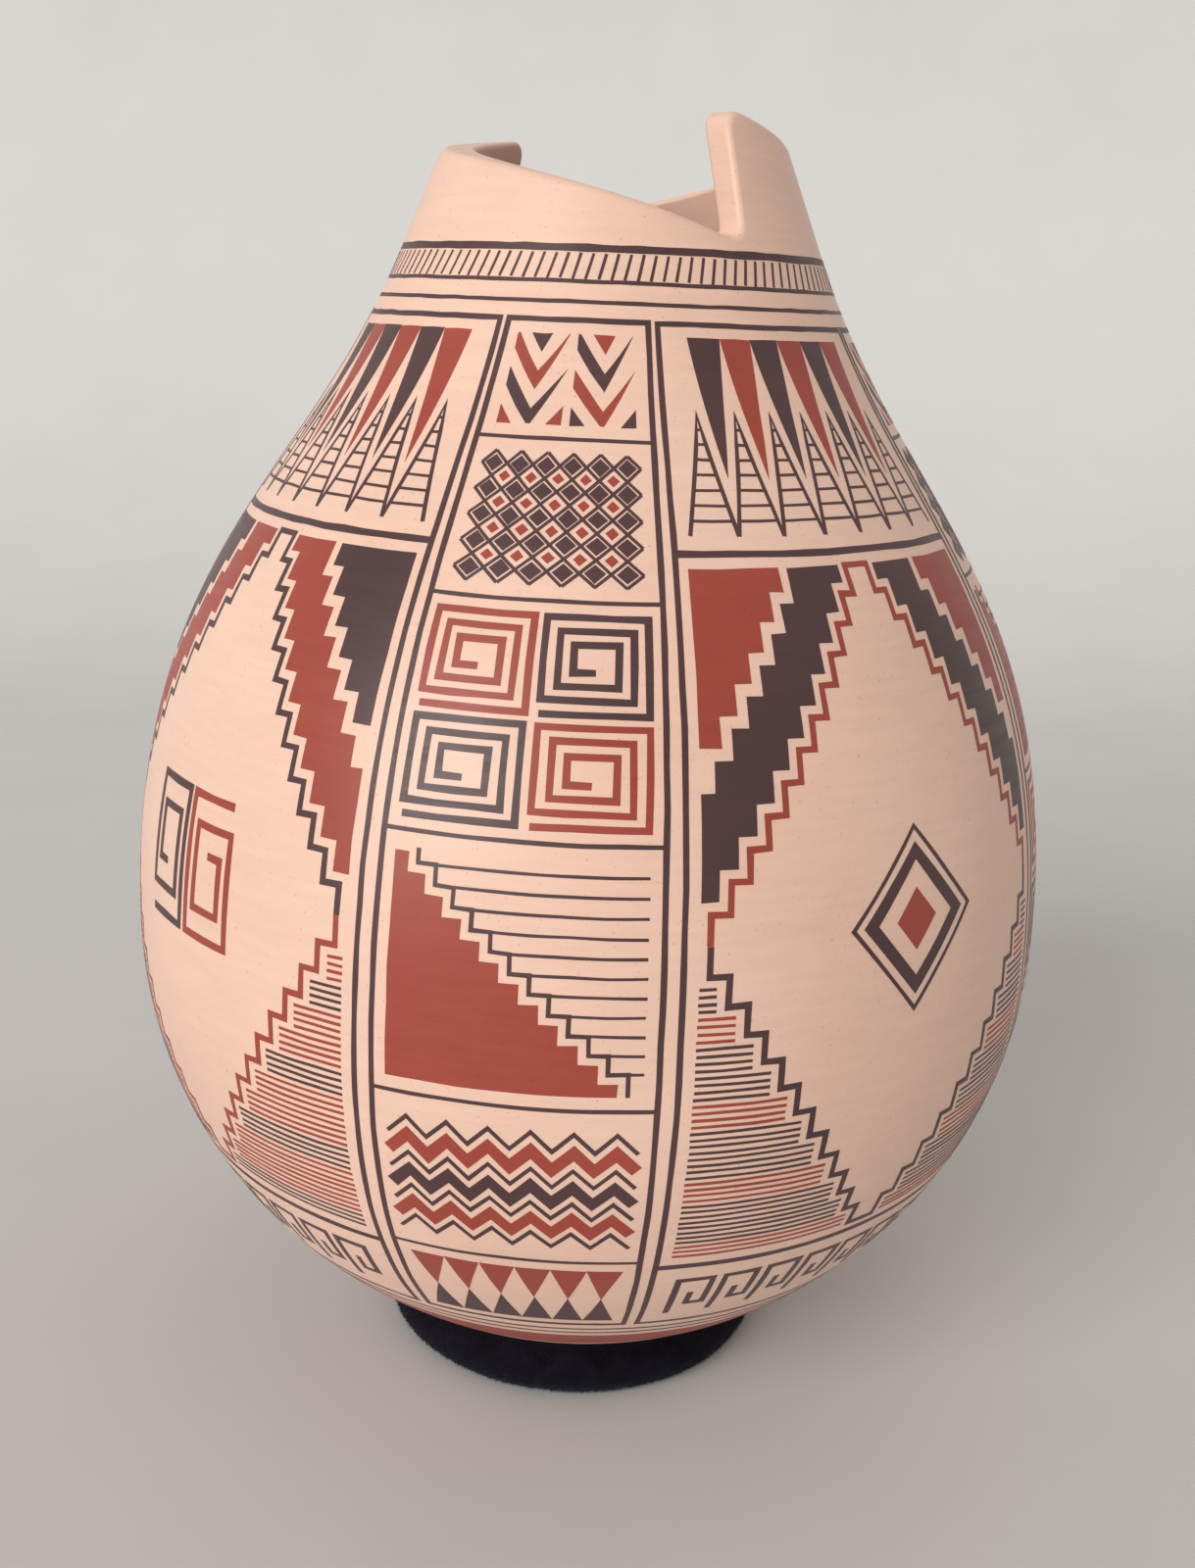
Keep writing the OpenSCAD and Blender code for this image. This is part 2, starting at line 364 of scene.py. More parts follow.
def fill(colour, points, waver=FILL_WAVER):
    """Solid painted shape with slightly unsteady edges."""
    z = paint_level()
    sheet = sheets[colour]
    corners = [(x + rng.uniform(-waver, waver), y + rng.uniform(-waver, waver))
               for x, y in divided(points, True)]
    sheet.faces.new([sheet.verts.new((x, y, z)) for x, y in corners])


def stroke(colour, points, width=LINE, closed=False, waver=LINE_WAVER):
    """Painted line of nearly even width, with mitred corners."""
    p = np.array(divided(points, closed))
    p += np.array([(rng.uniform(-waver, waver), rng.uniform(-waver, waver)) for _ in p])
    squeeze = np.column_stack((taper(p[:, 1]), np.ones(len(p))))
    before = np.roll(p, 1, axis=0)
    after = np.roll(p, -1, axis=0)
    if not closed:
        before[0] = 2 * p[0] - p[1]
        after[-1] = 2 * p[-1] - p[-2]
    a = (p - before) * squeeze
    b = (after - p) * squeeze
    a /= np.linalg.norm(a, axis=1)[:, None]
    b /= np.linalg.norm(b, axis=1)[:, None]
    side = np.column_stack((-a[:, 1] - b[:, 1], a[:, 0] + b[:, 0]))
    side /= np.maximum(np.linalg.norm(side, axis=1), 1e-6)[:, None]
    mitre = np.maximum(np.abs(-side[:, 0] * a[:, 1] + side[:, 1] * a[:, 0]), SHARPEST_MITRE)
    half = width / 2 * np.array([rng.uniform(1 - WIDTH_WAVER, 1 + WIDTH_WAVER) for _ in p]) / mitre
    off = side * half[:, None] / squeeze
    z = paint_level()
    sheet = sheets[colour]
    left = [sheet.verts.new((*q, z)) for q in p + off]
    right = [sheet.verts.new((*q, z)) for q in p - off]
    for i in range(len(p) if closed else len(p) - 1):
        k = (i + 1) % len(p)
        sheet.faces.new((right[i], right[k], left[k], left[i]))


class Cell:
    """Rectangle on the sheet, with u across and v up, both from 0 to 1."""

    def __init__(self, x0, x1, y0, y1):
        self.x0, self.x1, self.y0, self.y1 = x0, x1, y0, y1

    def at(self, u, v):
        return self.x0 + (self.x1 - self.x0) * u, self.y0 + (self.y1 - self.y0) * v

    def line(self, *places):
        return [self.at(u, v) for u, v in places]

    def part(self, u0, u1, v0, v1):
        return Cell(*(self.at(u, 0)[0] for u in (u0, u1)), *(self.at(0, v)[1] for v in (v0, v1)))

    def shrunk(self, d):
        side = d / taper((self.y0 + self.y1) / 2)
        return Cell(self.x0 + side, self.x1 - side, self.y0 + d, self.y1 - d)

    def rise(self, u):
        """The share of the height that is as long as the share u of the width at half height."""
        return u * (self.x1 - self.x0) * taper((self.y0 + self.y1) / 2) / (self.y1 - self.y0)


def teeth(cell, count, colours, tip=1.0):
    """Row of solid triangles that stand on the cell's lower edge, or hang where tip is 0."""
    for i in range(count):
        places = ((i / count, 1 - tip), ((i + 1) / count, 1 - tip), ((i + 0.5) / count, tip))
        fill(colours[i % len(colours)], cell.line(*places))


def lined_teeth(cell, count, lines):
    """Row of triangles filled with level lines."""
    for i in range(count):
        a, b = i / count, (i + 1) / count
        stroke("dark", cell.line((a, 0), ((a + b) / 2, 1), (b, 0)))
        for n in range(1, lines):
            v = n / lines
            stroke("dark", cell.line((a + (b - a) * v / 2, v), (b - (b - a) * v / 2, v)), HATCH_LINE)


def chevrons(cell, count, colours):
    """Nested bands that point down, in turn of the given colours or bare."""
    drop = 0.45
    band = (1 + drop) / count
    for i in range(count):
        colour = colours[i % len(colours)]
        if not colour:
            continue
        top, bottom = 1 + drop - i * band, 1 + drop - (i + 1) * band
        left = [(0, bottom), (0.5, bottom - drop), (0.5, top - drop), (0, top)]
        right = [(1 - u, v) for u, v in left[::-1]]
        whole = left[:2] + right[2:3] + right[:1] + left[2:]
        for shape in (left, right) if top - drop <= 0 else (whole,):
            clipped = inside_cell(shape)
            if clipped:
                fill(colour, cell.line(*clipped))


def inside_cell(shape):
    """Part of a polygon between the cell's lower and upper edge."""
    for level, sign in ((0, 1), (1, -1)):
        kept = []
        for p, q in zip(shape, shape[1:] + shape[:1]):
            a, b = sign * (p[1] - level), sign * (q[1] - level)
            if a >= 0:
                kept.append(p)
            if a * b < 0:
                t = a / (a - b)
                kept.append((p[0] + (q[0] - p[0]) * t, level))
        shape = kept
        if len(shape) < 3:
            return []
    return shape


def lozenge(cell, u, v, a, b):
    return cell.line((u - a, v), (u, v - b), (u + a, v), (u, v + b))


def lattice(cell, across, up):
    """Net of lozenges: dark ones in rows, with small red ones between the rows."""
    dark_size, red_size = 0.7, 0.45
    a, b = 0.5 / across, 0.5 / up
    for i in range(across):
        for j in range(up):
            u, v = (i + 0.5) / across, (j + 0.5) / up
            fill("dark", lozenge(cell, u, v, dark_size * a, dark_size * b))
            if i < across - 1 and j < up - 1:
                fill("red", lozenge(cell, u + a, v + b, red_size * a, red_size * b))
    for n in range(1, across + up + 1):
        for flip in (0, 1):
            k = n - 0.5
            t0, t1 = max(0, k - up) / across, min(k, across) / across
            if t1 <= t0:
                continue
            ends = [(t, (k - t * across) / up) for t in (t0, t1)]
            stroke("dark", cell.line(*((1 - u if flip else u, v) for u, v in ends)), NET_LINE)


def stair_edge(count, high, off=0, rise=0):
    """Corners of a stair that climbs from (high, 0) to (0, 1), moved sideways by off and up by rise."""
    places = []
    for i in range(count):
        u = high * (count - i) / (count + 1)
        places += [(u + off, i / count + rise), (u + off, (i + 1) / count + rise)]
    places[0] = (places[0][0], 0)
    places[-1] = (places[-1][0], 1 + min(rise, 0))
    return places


def stairs(cell, count):
    """Solid stair below and a lined stair above, with a bare path between them."""
    off = 0.02
    rise = cell.rise(off)
    low = stair_edge(count, 1, -off, -rise)
    high = stair_edge(count, 1, off, rise)
    fill("red", cell.line((0, 0), *low, (0, 1 - rise)))
    stroke("dark", cell.line(*high))
    for i in range(count):
        v = (i + 1) / count + rise
        if v < 1:
            stroke("dark", cell.line((high[2 * i][0], v), (1, v)), HATCH_LINE)


def square_coil(cell, turns, colour, width):
    """Angular coil that winds inward from the cell's lower left corner."""
    step = 0.5 / (turns + 0.5)
    places = [(0, 0)]
    for n in range(turns):
        a, b = n * step, 1 - n * step
        places += [(b, a), (b, b), (a, b), (a, a + step)]
    places.append((1 - turns * step - step / 2, turns * step))
    stroke(colour, cell.line(*places), width)


def zigzags(cell, count, bands):
    """Level zigzag bands, from the lowest up. Each band is a colour and a width."""
    pitch = 1 / (len(bands) + 1)
    for i, (colour, width) in enumerate(bands):
        v = (i + 0.5) * pitch
        places = [(n / (2 * count), v + (pitch if n % 2 else 0)) for n in range(2 * count + 1)]
        stroke(colour, cell.line(*places), width)


# Corners of one hook of the key band, and where in its share of the width it starts
HOOK = ((0, 0.08), (0, 0.92), (0.72, 0.92), (0.72, 0.35), (0.36, 0.35), (0.36, 0.62))
HOOK_START = 0.12


def key_band(cell, count):
    """Row of angular hooks along the cell."""
    for i in range(count):
        a, w = i / count, 1 / count
        stroke("dark", cell.line(*((a + (HOOK_START + u) * w, v) for u, v in HOOK)), HOOK_LINE)


def inside_half(places, low, least):
    """Places of a stair in the half cell and above a level, with no step flatter than the least height."""
    side = 0.5
    held = [(min(u, side), min(max(v, low), 1)) for u, v in places]
    first = max(i for i, (u, _) in enumerate(held) if u > side - 0.01)
    held = [(side, held[first][1])] + [(u, 1 if v > 1 - least else v) for u, v in held[first + 1:]]
    top = next(i for i, (_, v) in enumerate(held) if v == 1)
    return [p for i, p in enumerate(held[:top + 1]) if i == 0 or p != held[i - 1]]


def stepped_lozenge(cell, steps, main, other, middle):
    """Bare stepped lozenge with coloured corners above, lined corners below and a figure in the middle."""
    half = 0.52
    path = 0.024
    band = 0.085
    lines = 4
    figure = (0.33, 0.67, 0.37, 0.63)
    edge = stair_edge(steps, half)
    beside, band_end, rest = (
        stair_edge(steps, half, off, 2 * cell.rise(off)) for off in (path, path + band, 2 * path + band))
    low = beside[2][1]
    least = 0.6 / steps
    band_shape = beside[2:] + inside_half(band_end, low, least)[::-1] + [(0.5, low)]
    corner_shape = inside_half(rest, low, least) + [(0.5, 1)]
    for way, colour in ((1, other), (-1, main)):
        left = [(0.5 - u, 0.5 + way * v / 2) for u, v in edge]
        stroke(colour, cell.line(*left, *((1 - u, v) for u, v in left[::-1])), LOZENGE_LINE)
    for side in (-1, 1):
        for shape, colour in ((band_shape, main), (corner_shape, other)):
            fill(colour, cell.line(*((0.5 + side * u, 0.5 + v / 2) for u, v in shape)))
        for i in range(1, steps):
            for n in range(lines):
                v = 0.5 - (beside[2 * i][1] + n / lines / steps) / 2
                if v > 0:
                    places = cell.line((0.5 + side * beside[2 * i][0], v), (0.5 + side * 0.5, v))
                    stroke(other if i % 3 == 2 else main, places, NET_LINE)
    middle(cell.part(*figure))


def nested_lozenges(cell):
    outer, inner, core = (lozenge(cell, 0.5, 0.5, size / 2, size / 2) for size in (1.0, 0.74, 0.34))
    stroke("dark", outer, closed=True)
    stroke("dark", inner, BROAD_LINE, closed=True)
    fill("red", core)


def facing_coils(cell):
    square_coil(cell.part(0, 0.46, 0.1, 0.9), 2, "dark", COIL_LINE)
    square_coil(cell.part(1, 0.54, 0.9, 0.1), 2, "red", COIL_LINE)


# Layout: the narrow gore's width and the middle of the first one, then the levels of the painted bands
NARROW = math.radians(32) * BELLY[0]
FIRST_NARROW = math.radians(-97) * BELLY[0]
TURN = TAU * BELLY[0]
GORES = 4
BASE_LINES = (62, 81, 84)
BASE_BAND = (66, 78)
BAND_LOW = 86.0
NECK_LINE = run_at_height(243.2)
TICK_LINE = NECK_LINE - 6.5
BAND_HIGH = NECK_LINE - 10.5
GORE_HIGH = BAND_HIGH - 2
LEVEL_PIECES = 90

# Slanted ticks under the neck line: their count, how far under it they start and end, and how far they lean
TICKS = 120
TICK_START = 6
TICK_END = 1
TICK_LEAN = 2.6

# Heights of the cells in a gore, from the top down, and the bare margins inside them
NARROW_CELLS = (26, 34, 46, 52, 40, 30)
WIDE_CELLS = (50, 152, 28)
GORE_MARGIN = 1.7
CELL_MARGIN = 2.8
TEETH_MARGIN = 2.6
KEY_MARGIN = 4

# What the cells hold: counts, the share of a cell that each of two figures side by side takes, and the shares
# of the height for standing and hanging teeth
CHEVRONS = 7
NET_LOZENGES = (6, 5)
STAIRS = 12
COIL_TURNS = 3
ZIGZAGS = 6
FOOT_TEETH = 6
TOP_TEETH = 7
TOOTH_LINES = 8
LOZENGE_STEPS = 12
HOOKS = 8
PAIR_SHARE = 0.47
STANDING_TEETH = (0.02, 0.62)
HANGING_TEETH = (0.3, 1)


def level_line(y, width=LINE):
    n = LEVEL_PIECES
    stroke("dark", [(TURN * i / n, y) for i in range(n + 1)], width, waver=LEVEL_WAVER)


def level_band(colour, y0, y1):
    for i in range(LEVEL_PIECES):
        x0, x1 = TURN * i / LEVEL_PIECES, TURN * (i + 1) / LEVEL_PIECES
        fill(colour, [(x0, y0), (x1, y0), (x1, y1), (x0, y1)], waver=0)


def stacked(cell, heights):
    """Cells one over another, from the top down, with heights in the given shares."""
    total = sum(heights)
    made = []
    v = 1.0
    for h in heights:
        made.append(cell.part(0, 1, v - h / total, v))
        v -= h / total
    return made


def narrow_gore(cell, kind):
    """Upright row of six cells. The coils and the stairs change places with the kind."""
    cells = stacked(cell, NARROW_CELLS)
    for each in cells[:-1]:
        stroke("dark", each.line((0, 0), (1, 0)))
    top, net, upper, lower, waves, foot = (each.shrunk(CELL_MARGIN) for each in cells)
    starts = (0, 1 - PAIR_SHARE)
    for u, shades in zip(starts, (("dark", None, "red", None), ("red", None, "dark", None))):
        chevrons(top.part(u, u + PAIR_SHARE, 0, 1), CHEVRONS, shades)
    lattice(net, *NET_LOZENGES)
    coils, steps = (lower, upper) if kind else (upper, lower)
    stairs(steps, STAIRS)
    for u in starts:
        for v in starts:
            coil_cell = coils.part(u, u + PAIR_SHARE, v, v + PAIR_SHARE)
            square_coil(coil_cell, COIL_TURNS, "dark" if u == v else "red", HOOK_LINE)
    thin = ("dark", LINE)
    broad_red = ("red", BROAD_LINE)
    broad_dark = ("dark", BROAD_LINE)
    zigzags(waves, ZIGZAGS, (thin, broad_red, thin, broad_dark, thin, broad_red, thin))
    teeth(foot.part(0, 1, 0, 0.5), FOOT_TEETH, ("dark",))
    teeth(foot.part(0, 1, 0.5, 1), FOOT_TEETH, ("red",), tip=0)


def wide_gore(cell, kind):
    """Teeth, a stepped lozenge and a key band. The lozenge's colours and figure change with the kind."""
    cells = stacked(cell, WIDE_CELLS)
    for each in cells[:-1]:
        stroke("dark", each.line((0, 0), (1, 0)), SPLIT_LINE)
    top, field, low = cells
    toothed = top.shrunk(TEETH_MARGIN)
    half_tooth = 0.5 / TOP_TEETH
    lined_teeth(toothed.part(0, 1, *STANDING_TEETH), TOP_TEETH, TOOTH_LINES)
    hanging = toothed.part(half_tooth, 1 - half_tooth, *HANGING_TEETH)
    teeth(hanging, TOP_TEETH - 1, ("dark", "red"), tip=0)
    look = ("red", "dark", facing_coils) if kind else ("dark", "red", nested_lozenges)
    stepped_lozenge(field.shrunk(CELL_MARGIN), LOZENGE_STEPS, *look)
    key_band(low.shrunk(KEY_MARGIN), HOOKS)


level_line(BASE_LINES[0])
level_band("red", *BASE_BAND)
level_line(BASE_LINES[1])
level_line(BASE_LINES[2])
level_line(BAND_HIGH)
level_line(TICK_LINE)
level_line(NECK_LINE, NECK_WIDTH)
for i in range(TICKS):
    x = TURN * i / TICKS
    stroke("dark", [(x, NECK_LINE - TICK_START), (x + TICK_LEAN, NECK_LINE - TICK_END)], HATCH_LINE)
for i in range(GORES):
    left = FIRST_NARROW + i * TURN / GORES - NARROW / 2
    narrow = Cell(left, left + NARROW, BAND_LOW, GORE_HIGH)
    wide = Cell(left + NARROW, left + TURN / GORES, BAND_LOW, GORE_HIGH)
    for each, inside in ((narrow, narrow_gore), (wide, wide_gore)):
        framed = each.shrunk(GORE_MARGIN)
        stroke("dark", framed.line((0, 0), (1, 0), (1, 1), (0, 1)), FRAME_LINE, closed=True)
        inside(framed, i % 2)


def paint_object(name, sheet):
    """Closed thin slabs over the clay, made from the flat shapes of one colour."""
    sheet.normal_update()
    bmesh.ops.triangulate(sheet, faces=sheet.faces[:])
    while True:
        long = [e for e in sheet.edges if e.calc_length() > LONGEST_EDGE]
        if not long:
            break
        bmesh.ops.subdivide_edges(sheet, edges=long, cuts=1)
        bmesh.ops.triangulate(sheet, faces=[f for f in sheet.faces if len(f.verts) > 3])
    bmesh.ops.recalc_face_normals(sheet, faces=sheet.faces[:])
    sheet.verts.index_update()
    flat = np.array([v.co for v in sheet.verts])
    faces = []
    for f in sheet.faces:
        ids = [v.index for v in f.verts]
        faces.append(ids if f.normal.z > 0 else ids[::-1])
    n = len(flat)
    ways = {(a, b) for ids in faces for a, b in zip(ids, ids[1:] + ids[:1])}
    sides = [(b, a, a + n, b + n) for a, b in sorted(ways) if (b, a) not in ways]
    top, out = on_clay(flat[:, 0] / BELLY[0], flat[:, 1], flat[:, 2])
    under = on_clay(flat[:, 0] / BELLY[0], flat[:, 1], -PAINT_SINK)[0]
    closed = faces + [[i + n for i in ids[::-1]] for ids in faces] + sides
    made = new_object(name, np.vstack((top, under)), closed, "vessel")
    made.data.normals_split_custom_set_from_vertices(np.vstack((out, out)).tolist())
    return made


dark_paint = paint_object("slip_dark", sheets["dark"])
red_paint = paint_object("slip_red", sheets["red"])


# Ring cover: room left for the pile, depth of the gathers, depth and half angle of the seam, and lowest place
PILE_ROOM = 0.3
GATHER_DEPTH = 0.07
OUTER_GATHER = 0.35
SEAM_DEPTH = 0.5
SEAM_HALF = 0.09
COVER_LOW = 0.05


def ring_skin(azimuth, angle):
    """Points of the velvet's face, with its gathers, its seam and the flat that it stands on."""
    inner_side = 0.5 - 0.5 * np.cos(angle)
    # Fine gathers and slow swells: waves with whole counts round the ring, so that they meet
    gathers = (
        np.sin(67 * azimuth + 2 * np.sin(angle))
        + np.sin(41 * azimuth + 3)
        + np.sin(89 * azimuth + angle))
    slow = np.sin(7 * azimuth + 2 * angle) + np.sin(11 * azimuth - angle + 1)
    seam = np.exp(-(((angle - SEAM_ANGLE + math.pi) % TAU - math.pi) / SEAM_HALF) ** 2)
    folds = gathers * (OUTER_GATHER + inner_side) / 2 + slow / 2
    r = TUBE_R - PILE_ROOM - GATHER_DEPTH * folds - SEAM_DEPTH * seam
    z = np.maximum(RING_Z + r * np.sin(angle), COVER_LOW)
    radius = RING_R + r * np.cos(angle)
    return np.column_stack((radius * np.cos(azimuth), radius * np.sin(azimuth), z))


RING_COLUMNS = 420
RING_ROWS = 56
ring_azimuths = np.linspace(0, TAU, RING_COLUMNS, endpoint=False)
cover_points = [
    ring_skin(ring_azimuths, np.full(RING_COLUMNS, TAU * i / RING_ROWS)) for i in range(RING_ROWS)]
cover_faces = grid_faces(RING_ROWS, RING_COLUMNS, close_rows=True)

# Pile on the side of the ring that shows: count, radius and root depth of the fibres, where on the ring's
# section they grow, their shortest and longest length, their lean with the nap and at random, and the
# lowest place of a tip
FIBRES = 26000
FIBRE_R = 0.05
ROOT_DEPTH = 0.06
PILE_ANGLES = (-80, 62)
FIBRE_LENGTHS = (0.35, 0.95)
NAP_LEAN = 0.6
FIBRE_SCATTER = 0.4
PILE_LOW = 0.06
dice = np.random.default_rng(SEED)


def pile():
    """Points of all fibres, four to each: three round the root and the tip."""
    azimuth = dice.uniform(0, TAU, FIBRES)
    angle = np.radians(dice.uniform(*PILE_ANGLES, FIBRES))
    out = np.column_stack((np.cos(angle) * np.cos(azimuth), np.cos(angle) * np.sin(azimuth), np.sin(angle)))
    root = ring_skin(azimuth, angle) - ROOT_DEPTH * out
    along = np.column_stack((-np.sin(azimuth), np.cos(azimuth), np.zeros(FIBRES)))
    nap = NAP_LEAN * np.sin(9 * azimuth + 2 * np.sin(3 * azimuth) + 2 * angle)
    way = out + nap[:, None] * along + dice.normal(0, FIBRE_SCATTER, (FIBRES, 3))
    way /= np.linalg.norm(way, axis=1)[:, None]
    side = np.cross(way, out + along)
    side /= np.linalg.norm(side, axis=1)[:, None]
    other = np.cross(way, side)
    corners = [root + FIBRE_R * (side * math.cos(t) + other * math.sin(t)) for t in (0, TAU / 3, 2 * TAU / 3)]
    tip = root + way * dice.uniform(*FIBRE_LENGTHS, FIBRES)[:, None]
    tip[:, 2] = np.maximum(tip[:, 2], PILE_LOW)
    return np.stack((*corners, tip), axis=1).reshape(-1, 3)


fibre_starts = RING_ROWS * RING_COLUMNS + 4 * np.arange(FIBRES)
pile_faces = []
for a, b, c in ((0, 1, 3), (1, 2, 3), (2, 0, 3), (2, 1, 0)):
    pile_faces += np.column_stack((fibre_starts + a, fibre_starts + b, fibre_starts + c)).tolist()
cover = new_object(
    "ring_velvet", np.vstack((*cover_points, pile())), cover_faces + pile_faces, "stand")
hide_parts("ring_cover")


# Seam stitches of two-strand thread

STRAND_R = THREAD_D / 4
STRAND_TURNS = 2.2
STRAND_RINGS = 15
STRAND_SIDES = 8
STRAND_END = 0.35
STITCH_R = TUBE_R + STITCH_CLEAR + THREAD_D / 2
STITCH_SWEEP = STITCH_LENGTH / STITCH_R


def strand(turn, start):
    """Points and faces of one strand of the stitch that lies at the given turn round the ring."""
    round_ring = Matrix.Rotation(turn, 3, "Z")
    slant = Matrix.Rotation(STITCH_SLANT, 3, "X") @ Matrix.Rotation(math.pi / 2, 3, "X")
    placing = round_ring @ Matrix.Rotation(-SEAM_ANGLE, 3, "Y") @ slant
    centre = round_ring @ Vector((RING_R, 0, 0)) + Vector((0, 0, RING_Z))
    points = []
    for i in range(STRAND_RINGS):
        t = i / (STRAND_RINGS - 1)
        bend = (t - 0.5) * STITCH_SWEEP
        lay = start + STRAND_TURNS * TAU * t
        size = STRAND_END if i in (0, STRAND_RINGS - 1) else 1.0
        for k in range(STRAND_SIDES):
            a = TAU * k / STRAND_SIDES
            r = STITCH_R + STRAND_R * (math.cos(lay) + size * math.cos(a))
            y = STRAND_R * (math.sin(lay) + size * math.sin(a))
            points.append(tuple(placing @ Vector((r * math.cos(bend), r * math.sin(bend), y)) + centre))
    faces = []
    for i in range(STRAND_RINGS - 1):
        low, high = i * STRAND_SIDES, (i + 1) * STRAND_SIDES
        for k in range(STRAND_SIDES):
            on = (k + 1) % STRAND_SIDES
            faces.append((low + k, low + on, high + on, high + k))
    faces.append(list(range(STRAND_SIDES - 1, -1, -1)))
    faces.append([(STRAND_RINGS - 1) * STRAND_SIDES + k for k in range(STRAND_SIDES)])
    return points, faces


stitch_points = []
stitch_faces = []
for n in range(STITCHES):
    for start in (0, math.pi):
        points, faces = strand(TAU * n / STITCHES, start)
        stitch_faces += [[len(stitch_points) + k for k in face] for face in faces]
        stitch_points += points
stitches = new_object("seam_thread", stitch_points, stitch_faces, "stand")
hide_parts("cover_stitches")


# Materials

def colour(red, green, blue):
    """Linear colour from display values of 0 to 255."""
    def linear(c):
        c /= 255
        return c / 12.92 if c <= 0.04045 else ((c + 0.055) / 1.055) ** 2.4
    return linear(red), linear(green), linear(blue), 1


# Range that most of a noise's values lie in
MIDDLE = (0.3, 0.7)


class Look:
    """Material with one main shader and helpers that add its texture nodes."""

    def __init__(self, name, **values):
        self.material = bpy.data.materials.new(name)
        self.material.use_nodes = True
        self.nodes = self.material.node_tree.nodes
        self.links = self.material.node_tree.links
        self.shader = self.nodes["Principled BSDF"]
        for key, value in values.items():
            self.shader.inputs[key.replace("_", " ")].default_value = value
        self.place = self.nodes.new("ShaderNodeTexCoord").outputs["Object"]

    def stretched(self, scale):
        node = self.nodes.new("ShaderNodeMapping")
        node.inputs["Scale"].default_value = scale
        self.links.new(self.place, node.inputs["Vector"])
        return node.outputs["Vector"]

    def noise(self, scale, detail=3.0, rough=0.5, place=None):
        node = self.nodes.new("ShaderNodeTexNoise")
        node.inputs["Scale"].default_value = scale
        node.inputs["Detail"].default_value = detail
        node.inputs["Roughness"].default_value = rough
        self.links.new(place or self.place, node.inputs["Vector"])
        return node.outputs["Fac"]

    def ramp(self, value, *stops):
        """Colour between two stops, each a position and a colour."""
        node = self.nodes.new("ShaderNodeValToRGB")
        for element, (position, shade) in zip(node.color_ramp.elements, stops):
            element.position = position
            element.color = shade
        self.links.new(value, node.inputs["Fac"])
        return node.outputs["Color"]

    def blend(self, value, low, high):
        """Colour from low to high over the middle of a noise's range."""
        return self.ramp(value, (MIDDLE[0], low), (MIDDLE[1], high))

    def multiplied(self, a, b):
        node = self.nodes.new("ShaderNodeMix")
        node.data_type = "RGBA"
        node.blend_type = "MULTIPLY"
        node.inputs[0].default_value = 1
        self.links.new(a, node.inputs[6])
        self.links.new(b, node.inputs[7])
        return node.outputs[2]

    def spread(self, value, low, high):
        node = self.nodes.new("ShaderNodeMapRange")
        node.inputs["From Min"].default_value = MIDDLE[0]
        node.inputs["From Max"].default_value = MIDDLE[1]
        node.inputs["To Min"].default_value = low
        node.inputs["To Max"].default_value = high
        self.links.new(value, node.inputs["Value"])
        return node.outputs["Result"]

    def bump(self, value, distance, strength):
        node = self.nodes.new("ShaderNodeBump")
        node.inputs["Strength"].default_value = strength
        node.inputs["Distance"].default_value = distance
        self.links.new(value, node.inputs["Height"])
        self.links.new(node.outputs["Normal"], self.shader.inputs["Normal"])

    def link(self, value, socket):
        self.links.new(value, self.shader.inputs[socket])


def grey(level):
    return level, level, level, 1


# Roughness of burnished clay where it is smoothest
SMOOTHEST = 0.36


def burnished(name, pale, deep, fleck, roughest):
    """Stone-polished clay or slip with cloudy tone, level polishing streaks and small flecks."""
    look = Look(name, Roughness=SMOOTHEST, Specular_IOR_Level=0.45)
    cloud = look.blend(look.noise(16, detail=4, rough=0.55), deep, pale)
    streaks = look.noise(1, detail=4, rough=0.6, place=look.stretched((60, 60, 700)))
    toned = look.multiplied(cloud, look.ramp(streaks, (0.25, grey(0.93)), (0.7, grey(1))))
    flecks = look.ramp(look.noise(1500, detail=2), (0.24, grey(fleck)), (0.33, grey(1)))
    look.link(look.multiplied(toned, flecks), "Base Color")
    look.link(look.spread(streaks, SMOOTHEST, roughest), "Roughness")
    look.bump(streaks, distance=0.00004, strength=0.5)
    return look.material


clay = burnished(
    "burnished_clay", colour(243, 206, 187), colour(234, 194, 174), fleck=0.72, roughest=0.48)
dark_slip = burnished("dark_slip", colour(86, 58, 61), colour(70, 46, 48), fleck=0.85, roughest=0.5)
red_slip = burnished("red_slip", colour(168, 73, 60), colour(152, 60, 48), fleck=0.8, roughest=0.5)

raw = Look("scraped_clay", Roughness=0.66, Specular_IOR_Level=0.3)
raw_cloud = raw.noise(30, detail=5, rough=0.6)
raw_tone = raw.blend(raw_cloud, colour(222, 182, 159), colour(237, 199, 178))
raw_marks = raw.noise(1, detail=5, rough=0.65, place=raw.stretched((90, 90, 420)))
raw.link(raw.multiplied(raw_tone, raw.ramp(raw_marks, (0.3, grey(0.85)), (0.65, grey(1)))), "Base Color")
raw.bump(raw_marks, distance=0.0003, strength=0.6)

velvet = Look(
    "blue_black_velvet",
    Roughness=0.95,
    Specular_IOR_Level=0.1,
    Sheen_Weight=0.35,
    Sheen_Roughness=0.4,
    Sheen_Tint=colour(120, 124, 150))
pile_cloud = velvet.noise(160, detail=5, rough=0.65)
velvet.link(velvet.blend(pile_cloud, colour(11, 10, 16), colour(25, 22, 33)), "Base Color")
velvet.bump(velvet.noise(2600, rough=0.6), distance=0.0003, strength=0.7)

thread = Look("black_thread", Roughness=0.7, Specular_IOR_Level=0.3)
thread.link(thread.blend(thread.noise(2500), colour(26, 26, 30), colour(52, 52, 58)), "Base Color")

